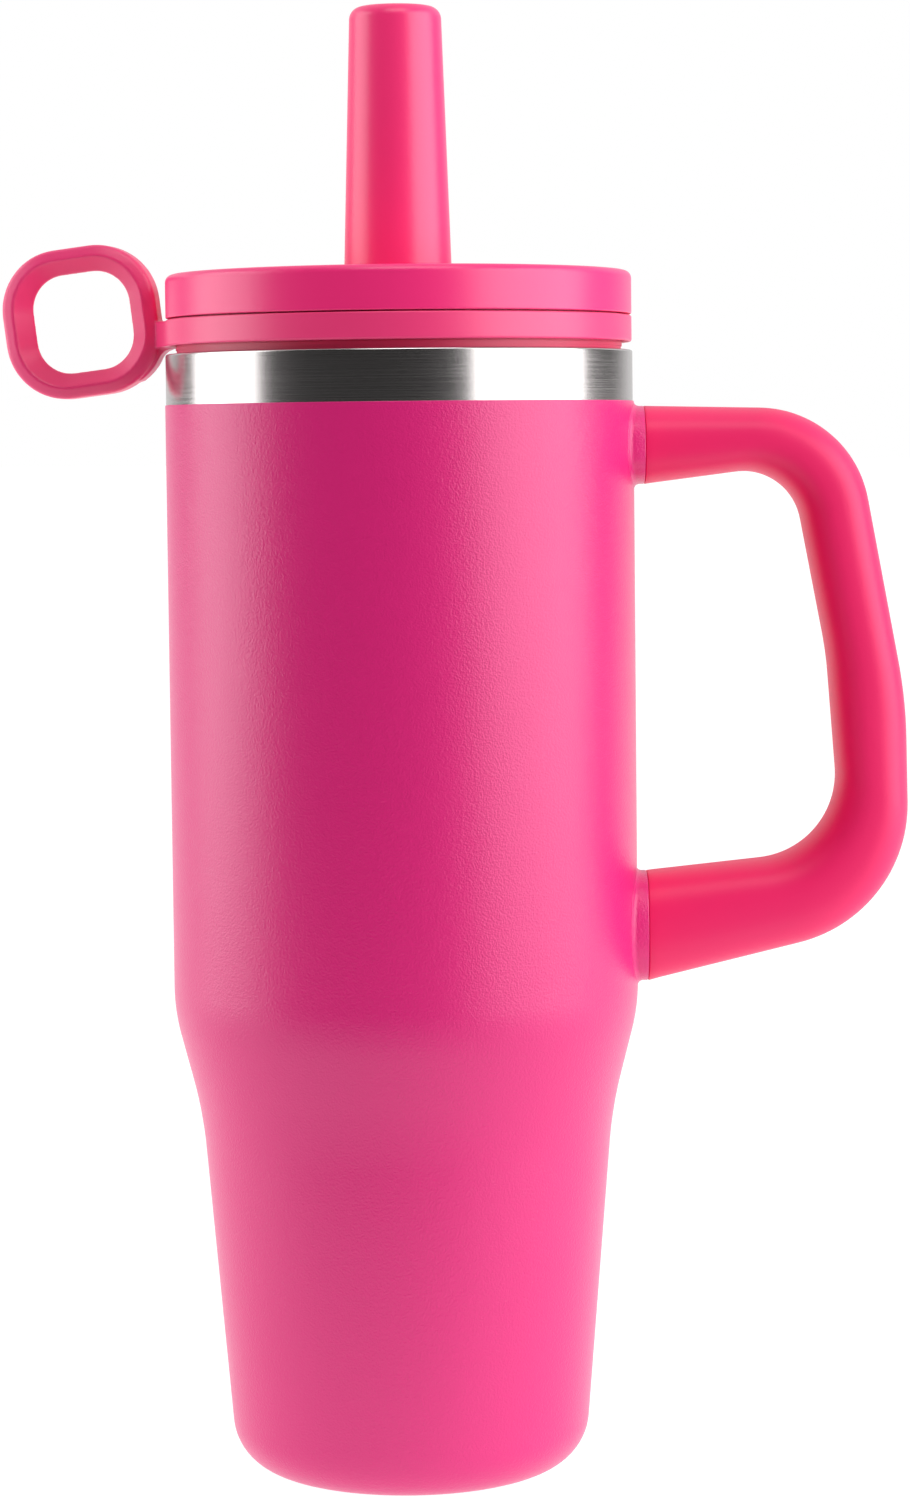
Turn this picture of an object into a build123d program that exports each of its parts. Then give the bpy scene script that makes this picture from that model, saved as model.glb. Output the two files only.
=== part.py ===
"""Insulated tumbler with lid: a double-wall steel cup with a coated body, a side handle bolted to
two welded brackets, a push-in lid with a through straw, a swivelling carry strap and a pull-off
straw cap.

Millimetres, +Z up. The origin is on the cup's axis, on the surface that the cup stands on. The
handle is on the +X side, the carry loop on the -X side.
"""

from build123d import *
import math
import os

os.makedirs("parts", exist_ok=True)

# ---------------------------------------------------------------- driving sizes

# Cup, over the coating
cup_height = 237.2  # resting surface to the top of the lip
body_radius = 49.2  # straight upper wall
foot_inset = 12.1  # straight wall to where the tapered foot's side would meet the resting surface
taper_top_inset = 5.6  # straight wall to the top of the tapered foot
taper_top_height = 77.2
shoulder_height = 98.9  # where the straight wall begins
foot_round = 11.5
taper_round = 90.0
shoulder_round = 40.0
bare_band_height = 10.6  # uncoated steel below the lip

# Edge rounds, as shares of a wall's thickness
full_share = 0.8
soft_share = 0.3

# Walls
coat_thickness = 0.2
shell_wall = 0.6
vessel_wall = 0.5
vacuum_gap = 2.5
floor_gap = 5.0  # vacuum space between the base plate and the vessel's floor
mouth_wall = 2.3  # coating's face to the mouth's bore
mouth_depth = 17.0  # depth of the wide mouth that takes the lid's plug
mouth_step = 3.0  # height of the slope below it

# Base
pad_proud = 0.4  # the pad stands this far below the steel
base_opening_inset = 10.1  # foot's side to the opening that the base plate closes
plate_recess = 2.0
plate_rim = 2.4  # base plate's rim round its recess
pad_clearance = 0.4
getter_radius = 5.0
getter_height = 2.0
getter_offset = 14.0
seal_hole_radius = 1.2
seal_bead_radius = 3.0
seal_bead_height = 0.7

# Handle: places are drops below the lip; corners are (reach from the straight wall, drop)
handle_top_drop = 11.7
handle_bottom_drop = 133.1
handle_outer_corners = [(45.6, 12.8), (56.9, 74.1), (57.6, 119.8)]
handle_outer_rounds = [23.5, 100.0, 30.0]
upper_inside_drop = 28.1
lower_inside_drop = 110.0
handle_inner_corners = [(32.9, 24.3), (40.4, 64.1), (43.5, 105.8)]
handle_inner_rounds = [12.4, 80.0, 17.8]
handle_width = 24.0
handle_edge_round = 6.0
grip_wall = 2.2  # soft cover over the handle's core
bracket_projection = 2.0  # bracket's face beyond the straight wall
bracket_edge_round = 5.5
bracket_sink = 5.0  # how deep a bracket's blank starts inside the shell, before it is cut to fit
tongue_length = 15.0
tongue_width = 11.0
tongue_height = 5.0
tongue_rise = 1.5  # tongue's middle above the arm's middle, to leave room for the screw's head
tongue_clearance = 0.15
tongue_round = 1.0
arm_sink = 10.0  # how far the arms' blanks run inside the bracket's face, before they are cut there
screw_radius = 2.0
screw_head_radius = 3.6
screw_head_height = 2.2
screw_socket_radius = 1.5
screw_socket_depth = 1.3
screw_inset = 8.0  # screw's axis beyond the bracket's face
screw_grip = 2.0  # core left between the screw's head and the tongue
screw_bite = 4.5
screw_clearance = 0.2
plug_radius = 4.4
plug_gap = 0.2  # plug to the screw's head

# Lid
lid_overlap = 0.34  # lid's side inside the coating's face
lid_seat_gap = 1.7  # lip to the carry band
band_height = 5.5
band_clearance = 0.3
rim_height = 9.05
rim_round = 1.6
moulded_edge_round = 0.5
rim_width = 2.2
deck_recess = 2.6
deck_wall = 2.2
plug_clearance = 0.3  # lid's plug to the mouth
plug_wall = 2.0
plug_lead_in = 0.6
seal_height = 5.0
seal_depth = 2.0
seal_web_share = 0.6  # part of the seal's depth that is solid; two lips fill the rest
seal_lip_share = 0.28  # height of a lip over the seal's height
seal_lip_places = (0.22, 0.78)  # middles of the lips over the seal's height
seal_clearance = 0.1
seal_above_plug_floor = 4.0
retaining_bead = 0.2
retaining_bead_height = 0.6
band_neck_clearance = 0.1

# Straw
straw_radius = 5.0
straw_wall = 1.0
straw_floor_clearance = 6.0
straw_above_deck = 44.0
tip_wall = 1.5
tip_overlap = 22.0
tip_lip = 3.0  # tip beyond the straw's end
grommet_wall = 1.6
grommet_flange = 1.5
grommet_flange_height = 1.0
collar_wall = 2.1
collar_height = 6.3
sleeve_wall = 1.6

# Air vent in the lid
vent_offset = 27.0
vent_angle = 125.0
vent_stem_radius = 1.8
vent_head_radius = 4.2
vent_head_height = 1.2
vent_bulb_radius = 2.5
vent_bulb_height = 1.6
vent_bulb_clearance = 0.2
vent_sleeve_wall = 1.2

# Straw cap
cap_gap = 0.5  # lid's collar to the inside of the cap's foot
cap_taper = 1.85  # cap's foot radius less its top radius
cap_height = 57.95  # above the deck
cap_edge_round = 2.7
cap_wall = 2.2
cap_lift = 0.3  # cap's edge above the deck

# Carry loop: a rounded square ring that hangs a little from the band
loop_azimuth = 171.0
loop_droop = 7.0
loop_reach = 19.2  # ring's centre beyond the lid's side
loop_rise = 0.15  # ring's centre above the band
loop_width = 33.4
loop_height = 31.6
loop_corner_round = 12.8
loop_depth = 8.0
loop_hole_width = 20.5
loop_hole_height = 20.3
loop_hole_round = 7.0
loop_hole_offset = 0.1
loop_crest_width = 2.7
loop_edge_round = 1.5
tab_flare = 7.0  # radius of the curves by which the band widens into the ring's tab
tab_sink = 1.0  # how deep the tab starts inside the band
tab_width = 7.0  # at its narrowest

# ---------------------------------------------------------------- sizes that follow

handle_top = cup_height - handle_top_drop
handle_bottom = cup_height - handle_bottom_drop
handle_upper_inside = cup_height - upper_inside_drop
handle_lower_inside = cup_height - lower_inside_drop
foot_radius = body_radius - foot_inset
taper_top_radius = body_radius - taper_top_inset
base_opening_radius = foot_radius - base_opening_inset
plate_recess_radius = base_opening_radius - plate_rim
shell_radius = body_radius - coat_thickness
mouth_radius = body_radius - mouth_wall
plate_bottom = pad_proud + plate_recess
plate_top = plate_bottom + shell_wall
floor_bottom = plate_top + floor_gap
mouth_floor = cup_height - mouth_depth
coat_top = cup_height - bare_band_height
bracket_face = body_radius + bracket_projection
bracket_root = shell_radius - bracket_sink
upper_middle = (handle_top + handle_upper_inside) / 2
upper_size = handle_top - handle_upper_inside
lower_middle = (handle_bottom + handle_lower_inside) / 2
lower_size = handle_lower_inside - handle_bottom
lid_radius = body_radius - lid_overlap
band_bottom = cup_height + lid_seat_gap
band_top = band_bottom + band_height
rim_bottom = band_top + band_clearance
lid_top_height = rim_bottom + rim_height
deck_top = lid_top_height - deck_recess
deck_bottom = deck_top - deck_wall
plug_radius_outer = mouth_radius - plug_clearance
plug_floor = mouth_floor + plug_clearance
straw_bore = straw_radius - straw_wall
straw_bottom = floor_bottom + vessel_wall + straw_floor_clearance
straw_top = deck_top + straw_above_deck
grommet_radius = straw_radius + grommet_wall
collar_radius = grommet_radius + collar_wall
collar_top = deck_top + collar_height
cap_base_radius = collar_radius + cap_gap + cap_wall
cap_top_radius = cap_base_radius - cap_taper
cap_top = deck_top + cap_height
loop_centre_radius = lid_radius + loop_reach
loop_centre_height = band_top + loop_rise
vent_x = vent_offset * math.cos(math.radians(vent_angle))
vent_y = vent_offset * math.sin(math.radians(vent_angle))


touching = 0.01  # two places nearer than this are the same place


def outline_corners(inset, bottom):
    """Side line of the cup, a distance inside the coating's face, from a floor to the lip."""
    corners = [
        (foot_radius, 0.0),
        (taper_top_radius, taper_top_height),
        (body_radius, shoulder_height),
        (body_radius, cup_height),
    ]
    shifted = []
    for start, end in zip(corners, corners[1:]):
        run = math.dist(start, end)
        normal = ((end[1] - start[1]) / run, (start[0] - end[0]) / run)
        shifted.append([(r - inset * normal[0], z - inset * normal[1]) for r, z in (start, end)])
    points = [crossing(shifted[0], [(0.0, bottom), (1.0, bottom)])]
    points += [crossing(first, second) for first, second in zip(shifted, shifted[1:])]
    return points + [(body_radius - inset, cup_height)]


def crossing(first, second):
    """Point where two lines in the r-z plane cross."""
    (ax, ay), (bx, by) = first
    (cx, cy), (dx, dy) = second
    turn = (bx - ax) * (dy - cy) - (by - ay) * (dx - cx)
    along = ((cx - ax) * (dy - cy) - (cy - ay) * (dx - cx)) / turn
    return (ax + along * (bx - ax), ay + along * (by - ay))


def draw_solid_outline(inset, bottom, top):
    """Half section of the cup as if it were solid, inside the current sketch."""
    side = outline_corners(inset, bottom)
    side[-1] = (side[-1][0], top)
    rounds = [foot_round - inset, taper_round + inset, shoulder_round - inset]
    with BuildLine() as outline:
        FilletPolyline((0, bottom), *side, radius=rounds)
        Polyline(side[-1], (0, top), (0, bottom))
    make_face(outline.edges())


def draw_ring(inner, outer, bottom, top):
    """Half section of a plain ring about the cup's axis, inside the current sketch."""
    with Locations(((inner + outer) / 2, (bottom + top) / 2)):
        Rectangle(outer - inner, top - bottom)


def draw_bracket_foot(middle, size):
    """Outline of a bracket where it stands on the shell, inside the current sketch."""
    with Locations((0, middle)):
        RectangleRounded(handle_width, size, bracket_edge_round)


# ---------------------------------------------------------------- cup body

with BuildPart() as shell_blank:
    with BuildSketch(Plane.XZ):
        draw_solid_outline(coat_thickness, pad_proud, cup_height)
    revolve(axis=Axis.Z)

with BuildPart() as shell_space:
    with BuildSketch(Plane.XZ):
        draw_solid_outline(coat_thickness + shell_wall, pad_proud + shell_wall, cup_height)
    revolve(axis=Axis.Z)

with BuildPart() as outer_shell:
    add(shell_blank.part)
    add(shell_space.part, mode=Mode.SUBTRACT)
    with BuildSketch(Plane.XY):
        Circle(base_opening_radius)
    extrude(amount=plate_top, mode=Mode.SUBTRACT)
    lip = outer_shell.edges().filter_by(GeomType.CIRCLE).group_by(Axis.Z)[-1].sort_by(SortBy.RADIUS)[-1]
    fillet(lip, shell_wall * full_share)

with BuildPart() as powder_coat:
    with BuildSketch(Plane.XZ):
        draw_solid_outline(0.0, pad_proud - coat_thickness, coat_top)
    revolve(axis=Axis.Z)
    add(shell_blank.part, mode=Mode.SUBTRACT)
    with BuildSketch(Plane.XY):
        Circle(base_opening_radius)
    extrude(amount=plate_top, mode=Mode.SUBTRACT)
    with BuildSketch(Plane.YZ.offset(bracket_root)):
        draw_bracket_foot(upper_middle, upper_size)
        draw_bracket_foot(lower_middle, lower_size)
    extrude(amount=bracket_face - bracket_root, mode=Mode.SUBTRACT)

vessel_inset = coat_thickness + shell_wall + vacuum_gap
bore_radius = body_radius - vessel_inset - vessel_wall
lip_joint_radius = shell_radius - shell_wall

with BuildPart() as inner_vessel:
    with BuildSketch(Plane.XZ):
        draw_solid_outline(vessel_inset, floor_bottom, mouth_floor - mouth_step)
    revolve(axis=Axis.Z)
    with BuildSketch(Plane.XZ):
        with BuildLine():
            Polyline(
                (0, mouth_floor - mouth_step),
                (bore_radius + vessel_wall, mouth_floor - mouth_step),
                (mouth_radius + vessel_wall, mouth_floor),
                (mouth_radius + vessel_wall, cup_height),
                (0, cup_height),
                close=True,
            )
        make_face()
        draw_ring(mouth_radius, lip_joint_radius, cup_height - 2 * vessel_wall, cup_height)
    revolve(axis=Axis.Z)
    with BuildSketch(Plane.XZ):
        draw_solid_outline(vessel_inset + vessel_wall, floor_bottom + vessel_wall, mouth_floor - mouth_step)
        with BuildLine():
            Polyline(
                (0, mouth_floor - mouth_step),
                (bore_radius, mouth_floor - mouth_step),
                (mouth_radius, mouth_floor),
                (mouth_radius, cup_height),
                (0, cup_height),
                close=True,
            )
        make_face()
    revolve(axis=Axis.Z, mode=Mode.SUBTRACT)
    mouth = inner_vessel.edges().filter_by(GeomType.CIRCLE).group_by(Axis.Z)[-1].sort_by(SortBy.RADIUS)[0]
    fillet(mouth, vessel_wall)

with BuildPart() as base_plate:
    with BuildSketch(Plane.XZ):
        with BuildLine():
            Polyline(
                (0, plate_bottom),
                (plate_recess_radius, plate_bottom),
                (plate_recess_radius + plate_recess / 2, pad_proud),
                (base_opening_radius, pad_proud),
                (base_opening_radius, pad_proud + shell_wall),
                (plate_recess_radius + plate_recess / 2 + shell_wall, pad_proud + shell_wall),
                (plate_recess_radius + shell_wall, plate_top),
                (0, plate_top),
                close=True,
            )
        make_face()
    revolve(axis=Axis.Z)
    with BuildSketch(Plane.XY.offset(plate_bottom)):
        Circle(seal_hole_radius)
    extrude(amount=shell_wall, mode=Mode.SUBTRACT)

with BuildPart() as vacuum_seal:
    with BuildSketch(Plane.XY.offset(plate_bottom - seal_bead_height)):
        Circle(seal_bead_radius)
    extrude(amount=seal_bead_height)
    fillet(vacuum_seal.edges().sort_by(Axis.Z)[0], seal_bead_height * full_share)
    with BuildSketch(Plane.XY.offset(plate_bottom)):
        Circle(seal_hole_radius)
    extrude(amount=shell_wall)

with BuildPart() as getter:
    with BuildSketch(Plane.XY.offset(plate_top)):
        with Locations((getter_offset, 0)):
            Circle(getter_radius)
    extrude(amount=getter_height)
    fillet(getter.edges().group_by(Axis.Z)[-1], getter_height * soft_share)

with BuildPart() as base_pad:
    with BuildSketch(Plane.XY):
        Circle(plate_recess_radius - pad_clearance)
    extrude(amount=plate_bottom)
    fillet(base_pad.edges().group_by(Axis.Z)[0], pad_proud)
    with BuildSketch(Plane.XY.offset(plate_bottom)):
        Circle(seal_bead_radius + pad_clearance)
    extrude(amount=-(seal_bead_height + pad_clearance), mode=Mode.SUBTRACT)

# ---------------------------------------------------------------- handle and its brackets
screw_place = (bracket_face + screw_inset, 0)


def screw_seat(middle):
    """Height where a screw's head bears on the core, below the tongue."""
    return middle + tongue_rise - tongue_height / 2 - screw_grip


def make_bracket(middle, size):
    """Welded bracket: a saddle on the shell with a tongue that goes into the handle's arm."""
    with BuildPart() as bracket:
        with BuildSketch(Plane.YZ.offset(bracket_root)):
            draw_bracket_foot(middle, size)
        extrude(amount=bracket_face - bracket_root)
        add(shell_blank.part, mode=Mode.SUBTRACT)
        with BuildSketch(Plane.YZ.offset(bracket_face)):
            with Locations((0, middle + tongue_rise)):
                Rectangle(tongue_width, tongue_height)
        extrude(amount=tongue_length)
        fillet(bracket.edges().group_by(Axis.X)[-1], tongue_round)
        with BuildSketch(Plane.XY.offset(screw_seat(middle) + screw_grip)):
            with Locations(screw_place):
                Circle(screw_radius)
        extrude(amount=screw_bite, mode=Mode.SUBTRACT)
    return bracket


upper_bracket = make_bracket(upper_middle, upper_size)
lower_bracket = make_bracket(lower_middle, lower_size)


def placed(corners):
    """The handle's corners as distances from the cup's axis and heights."""
    return [(body_radius + reach, cup_height - drop) for reach, drop in corners]


def draw_handle(inset):
    """Side view of the handle, drawn inside the current sketch."""
    start = bracket_face - arm_sink
    with BuildLine() as outline:
        FilletPolyline(
            (start, handle_top),
            *placed(handle_outer_corners),
            (start, handle_bottom),
            radius=handle_outer_rounds,
        )
        Line((start, handle_bottom), (start, handle_lower_inside))
        FilletPolyline(
            (start, handle_lower_inside),
            *reversed(placed(handle_inner_corners)),
            (start, handle_upper_inside),
            radius=list(reversed(handle_inner_rounds)),
        )
        Line((start, handle_upper_inside), (start, handle_top))
    make_face(outline.edges())
    if inset:
        offset(amount=-inset)


def make_handle_blank(inset):
    """Solid of the handle, a distance inside its outer face, with its long edges rounded."""
    half_width = handle_width / 2 - inset
    with BuildPart() as blank:
        with BuildSketch(Plane.XZ):
            draw_handle(inset)
        extrude(amount=half_width, both=True)
        long_edges = [
            edge
            for edge in blank.edges()
            if abs(abs(edge.center().Y) - half_width) < touching
            and edge.center().X > bracket_face - arm_sink + inset + touching
        ]
        fillet(long_edges, handle_edge_round - inset)
        split(bisect_by=Plane.YZ.offset(bracket_face), keep=Keep.TOP)
    return blank


core_blank = make_handle_blank(grip_wall)
grip_blank = make_handle_blank(0)

with BuildPart() as pockets:
    for middle, size in ((upper_middle, upper_size), (lower_middle, lower_size)):
        with BuildSketch(Plane.YZ.offset(bracket_face)):
            with Locations((0, middle + tongue_rise)):
                Rectangle(tongue_width + 2 * tongue_clearance, tongue_height + 2 * tongue_clearance)
        extrude(amount=tongue_length + tongue_clearance)
        with BuildSketch(Plane.XY.offset(screw_seat(middle))):
            with Locations(screw_place):
                Circle(screw_radius + screw_clearance)
        extrude(amount=screw_grip)
        with BuildSketch(Plane.XY.offset(screw_seat(middle))):
            with Locations(screw_place):
                Circle(plug_radius)
        extrude(amount=-size)

with BuildPart() as handle_core:
    add(core_blank.part)
    add(pockets.part, mode=Mode.SUBTRACT)

with BuildPart() as handle_grip:
    add(grip_blank.part)
    add(core_blank.part, mode=Mode.SUBTRACT)
    add(pockets.part, mode=Mode.SUBTRACT)


def make_screw(middle):
    """Pan-head screw that holds an arm to its tongue, head down."""
    with BuildPart() as screw:
        with BuildSketch(Plane.XY.offset(screw_seat(middle))):
            with Locations(screw_place):
                Circle(screw_head_radius)
        extrude(amount=-screw_head_height)
        fillet(screw.edges().group_by(Axis.Z)[0], screw_head_height * soft_share)
        with BuildSketch(Plane.XY.offset(screw_seat(middle))):
            with Locations(screw_place):
                Circle(screw_radius)
        extrude(amount=screw_grip + screw_bite)
        with BuildSketch(Plane.XY.offset(screw_seat(middle) - screw_head_height)):
            with Locations(screw_place):
                RegularPolygon(screw_socket_radius, 6)
        extrude(amount=screw_socket_depth, mode=Mode.SUBTRACT)
    return screw


upper_screw = make_screw(upper_middle)
lower_screw = make_screw(lower_middle)


def make_screw_plug(middle, size):
    """Soft plug that closes a screw's hole, flush with the arm's underside."""
    with BuildPart() as plug:
        with BuildSketch(Plane.XY.offset(screw_seat(middle) - screw_head_height - plug_gap)):
            with Locations(screw_place):
                Circle(plug_radius)
        extrude(amount=-size)
        add(grip_blank.part, mode=Mode.INTERSECT)
    return plug


upper_screw_plug = make_screw_plug(upper_middle, upper_size)
lower_screw_plug = make_screw_plug(lower_middle, lower_size)

# ---------------------------------------------------------------- lid

with BuildPart() as lid_cover:
    with BuildSketch(Plane.XZ):
        draw_ring(0, lid_radius, deck_bottom, deck_top)
        draw_ring(lid_radius - rim_width, lid_radius, rim_bottom, lid_top_height)
        draw_ring(0, collar_radius, deck_bottom, collar_top)
        draw_ring(0, grommet_radius, deck_bottom, collar_top)
    revolve(axis=Axis.Z)
    with BuildSketch(Plane.XY.offset(deck_bottom)):
        Circle(grommet_radius)
    extrude(amount=collar_top - deck_bottom, mode=Mode.SUBTRACT)
    with BuildSketch(Plane.XY.offset(deck_bottom)):
        with Locations((vent_x, vent_y)):
            Circle(vent_stem_radius)
    extrude(amount=deck_wall, mode=Mode.SUBTRACT)
    rim_edges = lid_cover.edges().filter_by(GeomType.CIRCLE).filter_by(
        lambda edge: abs(edge.radius - lid_radius) < touching and edge.center().Z > deck_top
    )
    fillet(rim_edges, rim_round)

sleeve_radius = grommet_radius + sleeve_wall
vent_sleeve_radius = vent_bulb_radius + vent_bulb_clearance + vent_sleeve_wall

with BuildPart() as lid_plug:
    with BuildSketch(Plane.XZ):
        draw_ring(0, plug_radius_outer, plug_floor, deck_bottom)
    revolve(axis=Axis.Z)
    chamfer(lid_plug.edges().group_by(Axis.Z)[0], plug_lead_in)
    with BuildSketch(Plane.XZ):
        draw_ring(sleeve_radius, plug_radius_outer - plug_wall, plug_floor + plug_wall, deck_bottom)
    revolve(axis=Axis.Z, mode=Mode.SUBTRACT)
    with BuildSketch(Plane.XY.offset(plug_floor)):
        with Locations((vent_x, vent_y)):
            Circle(vent_sleeve_radius)
    extrude(amount=deck_bottom - plug_floor)
    with BuildSketch(Plane.XY.offset(plug_floor)):
        with Locations((vent_x, vent_y)):
            Circle(vent_sleeve_radius - vent_sleeve_wall)
        Circle(grommet_radius)
    extrude(amount=deck_bottom - plug_floor, mode=Mode.SUBTRACT)
    # Groove for the seal, with a shelf of plug left inside it
    with BuildSketch(Plane.XZ):
        draw_ring(
            plug_radius_outer - seal_depth,
            mouth_radius,
            plug_floor + seal_above_plug_floor,
            plug_floor + seal_above_plug_floor + seal_height,
        )
    revolve(axis=Axis.Z, mode=Mode.SUBTRACT)
    with BuildSketch(Plane.XZ):
        draw_ring(
            plug_radius_outer - seal_depth - plug_wall,
            plug_radius_outer - seal_depth,
            plug_floor,
            plug_floor + seal_above_plug_floor + seal_height + plug_wall,
        )
    revolve(axis=Axis.Z)
    # Neck that the carry band turns on, and the bead that keeps the band up
    with BuildSketch(Plane.XZ):
        draw_ring(
            plug_radius_outer,
            plug_radius_outer + retaining_bead,
            band_bottom - band_clearance - retaining_bead_height,
            band_bottom - band_clearance,
        )
    revolve(axis=Axis.Z)

with BuildPart() as lid_seal:
    seal_bottom = plug_floor + seal_above_plug_floor
    seal_root = plug_radius_outer - seal_depth
    seal_edge = mouth_radius - seal_clearance
    with BuildSketch(Plane.XZ):
        draw_ring(seal_root, seal_root + seal_depth * seal_web_share, seal_bottom, seal_bottom + seal_height)
        for place in seal_lip_places:
            with Locations(((seal_root + seal_edge) / 2, seal_bottom + place * seal_height)):
                Rectangle(seal_edge - seal_root, seal_height * seal_lip_share)
    revolve(axis=Axis.Z)

with BuildPart() as straw_grommet:
    grommet_bottom = deck_bottom - collar_height
    with BuildSketch(Plane.XZ):
        draw_ring(straw_radius, grommet_radius, grommet_bottom, collar_top)
        draw_ring(
            straw_radius,
            grommet_radius + grommet_flange,
            collar_top,
            collar_top + grommet_flange_height,
        )
    revolve(axis=Axis.Z)
    flange_edges = straw_grommet.edges().filter_by(GeomType.CIRCLE).group_by(Axis.Z)[-1]
    fillet(flange_edges.sort_by(SortBy.RADIUS)[-1], moulded_edge_round)

with BuildPart() as straw:
    with BuildSketch(Plane.XZ):
        draw_ring(straw_bore, straw_radius, straw_bottom, straw_top)
    revolve(axis=Axis.Z)
    fillet(straw.edges().filter_by(GeomType.CIRCLE).group_by(Axis.Z)[0], straw_wall * soft_share)

with BuildPart() as straw_tip:
    with BuildSketch(Plane.XZ):
        draw_ring(straw_radius, straw_radius + tip_wall, straw_top - tip_overlap, straw_top)
        draw_ring(straw_bore, straw_radius + tip_wall, straw_top, straw_top + tip_lip)
    revolve(axis=Axis.Z)
    tip_ends = straw_tip.edges().filter_by(GeomType.CIRCLE).group_by(Axis.Z)
    fillet(tip_ends[-1].sort_by(SortBy.RADIUS)[-1], tip_wall * full_share)
    tip_ends = straw_tip.edges().filter_by(GeomType.CIRCLE).group_by(Axis.Z)
    fillet(tip_ends[0].sort_by(SortBy.RADIUS)[-1], moulded_edge_round)

with BuildPart() as vent_valve:
    with BuildSketch(Plane.XY.offset(deck_top)):
        with Locations((vent_x, vent_y)):
            Circle(vent_head_radius)
    extrude(amount=vent_head_height)
    fillet(vent_valve.edges().group_by(Axis.Z)[-1], vent_head_height * full_share)
    with BuildSketch(Plane.XY.offset(deck_bottom)):
        with Locations((vent_x, vent_y)):
            Circle(vent_stem_radius)
    extrude(amount=deck_wall)
    with BuildSketch(Plane.XY.offset(deck_bottom)):
        with Locations((vent_x, vent_y)):
            Circle(vent_bulb_radius)
    extrude(amount=-vent_bulb_height)
    fillet(vent_valve.edges().group_by(Axis.Z)[0], vent_bulb_height * soft_share)

# ---------------------------------------------------------------- carry strap

loop_turn = math.radians(loop_azimuth)
loop_out = (math.cos(loop_turn), math.sin(loop_turn), 0)
loop_plane = Plane(
    origin=(
        loop_centre_radius * math.cos(loop_turn),
        loop_centre_radius * math.sin(loop_turn),
        loop_centre_height,
    ),
    x_dir=(
        -math.cos(loop_turn) * math.cos(math.radians(loop_droop)),
        -math.sin(loop_turn) * math.cos(math.radians(loop_droop)),
        math.sin(math.radians(loop_droop)),
    ),
    z_dir=(math.sin(loop_turn), -math.cos(loop_turn), 0),
)

with BuildPart() as loop_hole:
    loop_slope = math.degrees(
        math.atan(((loop_width - loop_hole_width) / 2 - loop_crest_width) / (loop_depth / 2))
    )
    with BuildSketch(loop_plane):
        with Locations((loop_hole_offset, 0)):
            RectangleRounded(loop_hole_width, loop_hole_height, loop_hole_round)
    extrude(amount=loop_depth, both=True, taper=-loop_slope)

with BuildPart() as ring_blank:
    with BuildSketch(loop_plane):
        RectangleRounded(loop_width, loop_height, loop_corner_round)
    extrude(amount=loop_depth / 2, both=True)
    across = Axis(loop_plane.origin, loop_plane.z_dir)
    ring_faces = ring_blank.faces().sort_by(across)
    fillet(ring_faces[0].edges() + ring_faces[-1].edges(), loop_edge_round)

# The tab starts inside the band and narrows in two hollow curves to the ring's depth
with BuildPart() as tab:
    half_width = tab_width / 2
    flare_centre = math.sqrt((lid_radius + tab_flare) ** 2 - (half_width + tab_flare) ** 2)
    leave = math.asin((half_width + tab_flare) / (lid_radius + tab_flare))
    leave_point = (lid_radius * math.cos(leave), lid_radius * math.sin(leave))
    halfway = (math.pi / 2 + leave) / 2
    halfway_point = (
        flare_centre - tab_flare * math.sin(halfway),
        half_width + tab_flare - tab_flare * math.cos(halfway),
    )
    with BuildSketch(Plane(origin=(0, 0, band_bottom), x_dir=loop_out, z_dir=(0, 0, 1))):
        with BuildLine() as tab_outline:
            ThreePointArc(leave_point, halfway_point, (flare_centre, half_width))
            Line((flare_centre, half_width), (flare_centre, -half_width))
            ThreePointArc(
                (flare_centre, -half_width),
                (halfway_point[0], -halfway_point[1]),
                (leave_point[0], -leave_point[1]),
            )
            Polyline(
                (leave_point[0], -leave_point[1]),
                (leave_point[0] - tab_sink, -leave_point[1]),
                (leave_point[0] - tab_sink, leave_point[1]),
                leave_point,
            )
        make_face(tab_outline.edges())
    extrude(amount=band_height)

with BuildPart() as carry_strap:
    with BuildSketch(Plane.XZ):
        draw_ring(plug_radius_outer + band_neck_clearance, lid_radius, band_bottom, band_top)
    revolve(axis=Axis.Z)
    add(tab.part)
    add(ring_blank.part)
    add(loop_hole.part, mode=Mode.SUBTRACT)

# ---------------------------------------------------------------- straw cap


def draw_cap(inset, bottom):
    """Half section of the cap's cone, a wall inside its outer face, inside the current sketch."""
    slope = cap_taper / cap_height
    top = cap_top - inset
    with BuildLine() as outline:
        Polyline(
            (0, bottom),
            (cap_base_radius - inset - slope * (bottom - deck_top), bottom),
            (cap_base_radius - inset - slope * (top - deck_top), top),
            (0, top),
            close=True,
        )
    make_face(outline.edges())


with BuildPart() as straw_cap:
    with BuildSketch(Plane.XZ):
        draw_cap(0, deck_top + cap_lift)
    revolve(axis=Axis.Z)
    fillet(straw_cap.edges().filter_by(GeomType.CIRCLE).group_by(Axis.Z)[-1], cap_edge_round)
    fillet(straw_cap.edges().filter_by(GeomType.CIRCLE).group_by(Axis.Z)[0], moulded_edge_round)
    with BuildSketch(Plane.XZ):
        draw_cap(cap_wall, deck_top + cap_lift)
    revolve(axis=Axis.Z, mode=Mode.SUBTRACT)

# ---------------------------------------------------------------- files

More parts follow.
